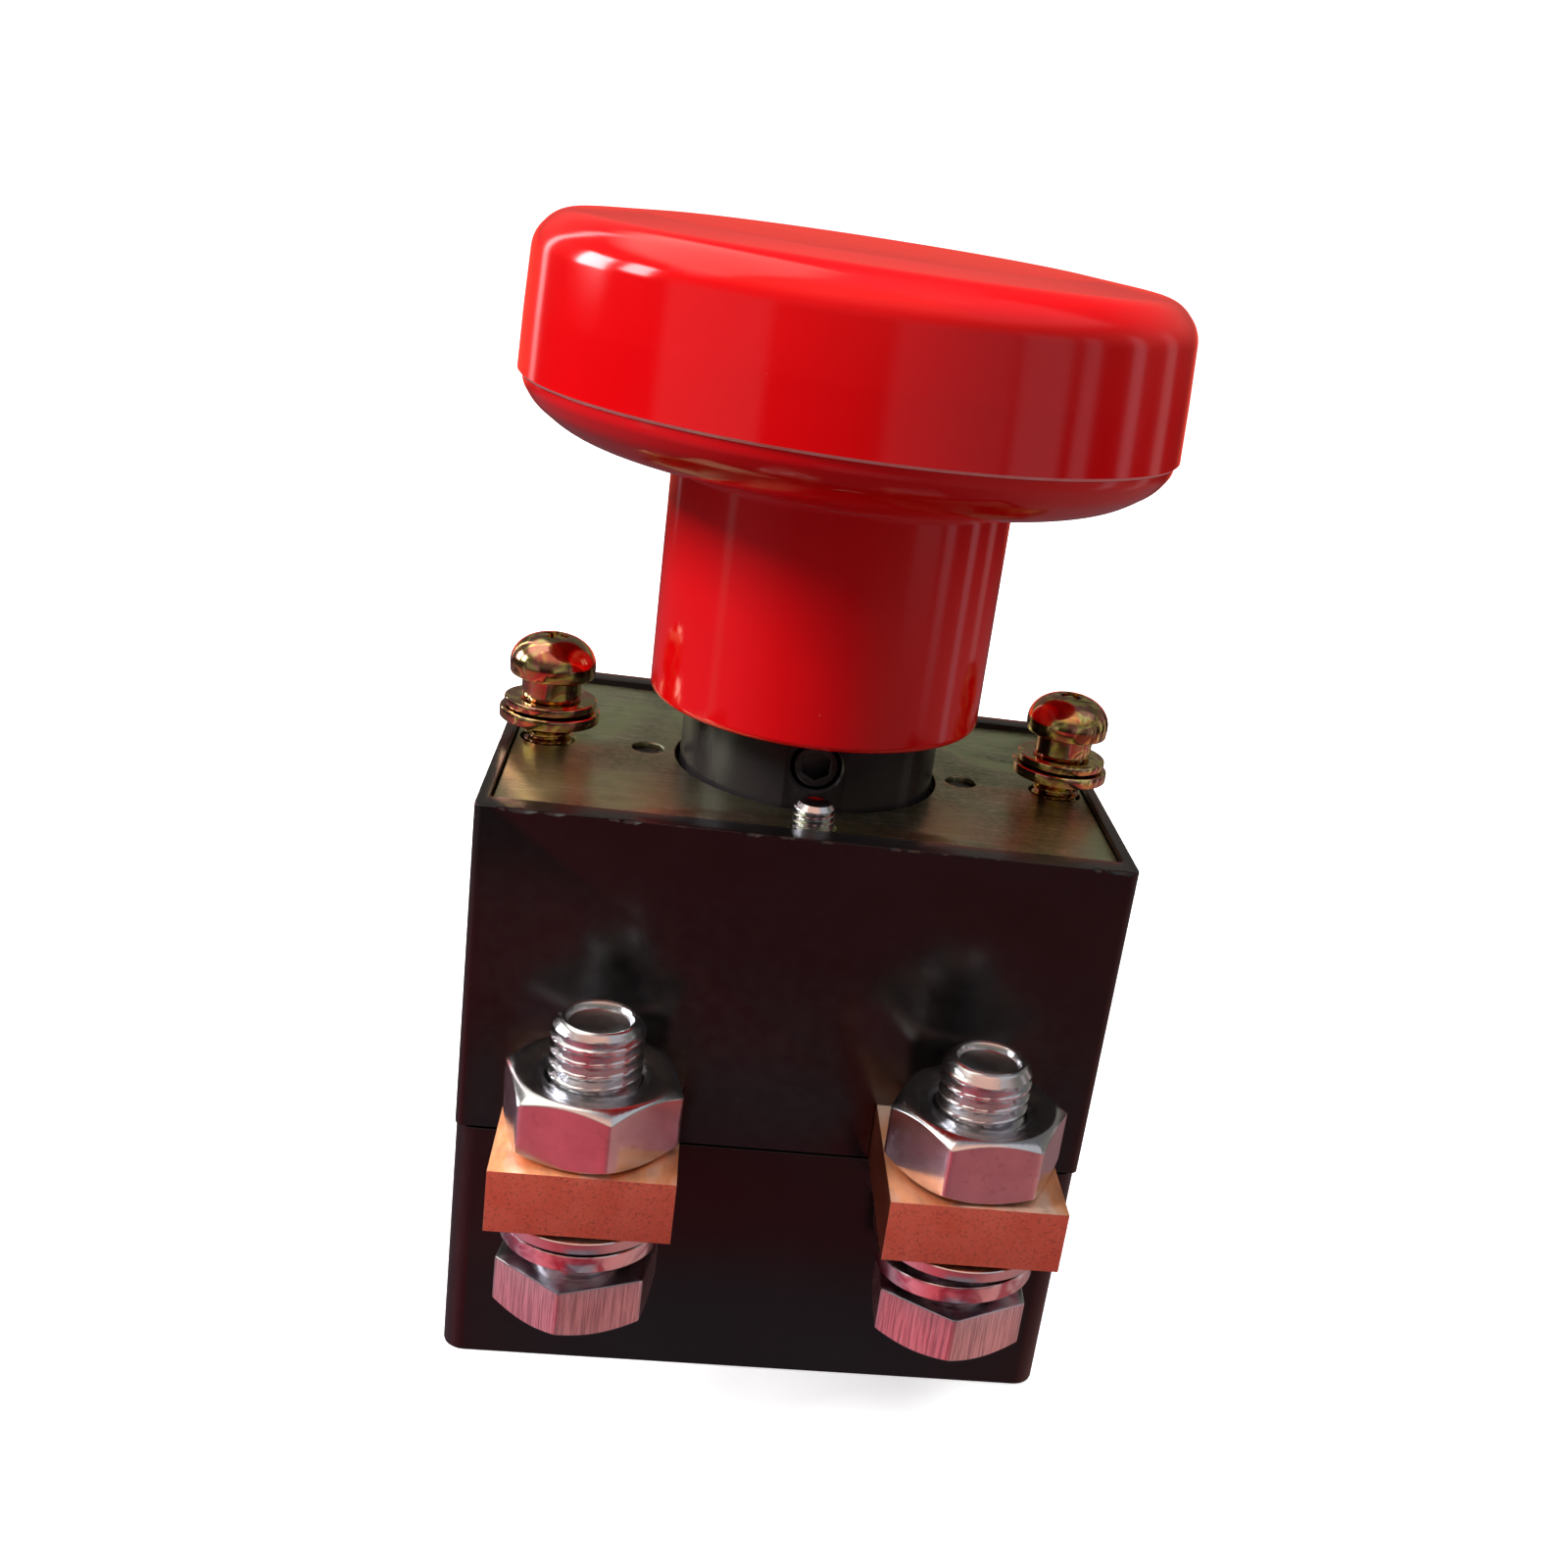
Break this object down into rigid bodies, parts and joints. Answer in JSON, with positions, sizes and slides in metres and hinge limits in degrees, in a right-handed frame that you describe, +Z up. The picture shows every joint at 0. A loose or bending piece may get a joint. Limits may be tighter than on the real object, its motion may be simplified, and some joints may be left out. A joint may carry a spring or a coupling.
{
  "type": "battery disconnect switch",
  "caption": "Push-pull battery disconnect switch: mushroom knob over a black housing, with two bolted copper bar terminals; pull up to close, push down to open.",
  "frame": {"origin": "middle of the flat base, on the plunger's axis", "axes": "+Z up the plunger to the knob, -Y out of the front where the terminal bars stick out, +X to the right seen from the front"},
  "size_m": [0.0776, 0.0882, 0.1349],
  "materials": {
    "black_housing": "polished moulding",
    "red_knob": "polished moulding",
    "yellow_zinc": "yellow passivated zinc on steel",
    "bright_zinc": "bright zinc on steel",
    "copper": "sawn and polished copper",
    "silver": "silver contact metal",
    "steel": "turned steel",
    "spring_steel": "drawn wire",
    "insulator": "pressed laminate"
  },
  "bodies": {
    "housing": {"bar_screw_left": "steel", "bar_screw_right": "steel", "detent_ball_front": "steel", "detent_ball_rear": "steel", "detent_screw_front": "steel", "detent_screw_rear": "steel", "detent_spring_front": "spring_steel", "detent_spring_rear": "spring_steel", "fixed_contact_left": "silver", "fixed_contact_right": "silver", "flange_screw_left": "steel", "flange_screw_right": "steel", "guide_boss": "black_housing", "lower_housing": "black_housing", "mounting_flat_washer_left": "yellow_zinc", "mounting_flat_washer_right": "yellow_zinc", "mounting_screw_left": "yellow_zinc", "mounting_screw_right": "yellow_zinc", "mounting_spring_washer_left": "yellow_zinc", "mounting_spring_washer_right": "yellow_zinc", "opening_spring": "spring_steel", "terminal_bar_left": "copper", "terminal_bar_right": "copper", "terminal_bolt_left": "bright_zinc", "terminal_bolt_right": "bright_zinc", "terminal_flat_washer_left": "bright_zinc", "terminal_flat_washer_right": "bright_zinc", "terminal_nut_left": "bright_zinc", "terminal_nut_right": "bright_zinc", "terminal_spring_washer_left": "bright_zinc", "terminal_spring_washer_right": "bright_zinc", "tie_screw_front": "bright_zinc", "tie_screw_rear": "bright_zinc", "top_plate": "yellow_zinc", "upper_housing": "black_housing"},
    "slider": {"thrust_washer": "steel"},
    "plunger": {"plunger_shaft": "steel", "stud_nut": "bright_zinc", "seat_washer": "steel", "contact_spring": "spring_steel", "knob_body": "red_knob", "knob_cap": "red_knob", "knob_washer": "bright_zinc", "knob_nut": "bright_zinc"},
    "bridge": {"bridge_bar": "copper", "bridge_ring": "spring_steel", "insulating_bush": "insulator", "moving_contact_left": "silver", "moving_contact_right": "silver"}
  },
  "joints": [
    {"name": "plunger_slide", "type": "slide", "parent": "housing", "child": "slider", "axis": [0, 0, -1], "range_m": [0, 0.0055], "deforming": ["opening_spring"]},
    {"name": "knob_turn", "type": "hinge", "parent": "slider", "child": "plunger", "pos_m": [0, 0, 0.08], "axis": [0, 0, 1], "continuous": true},
    {"name": "bridge_slide", "type": "slide", "parent": "housing", "child": "bridge", "axis": [0, 0, -1], "range_m": [0, 0.0044], "deforming": ["contact_spring"]}
  ],
  "couplings": [
    {"joint": "bridge_slide", "follows": "plunger_slide", "ratio": 0.8}
  ]
}
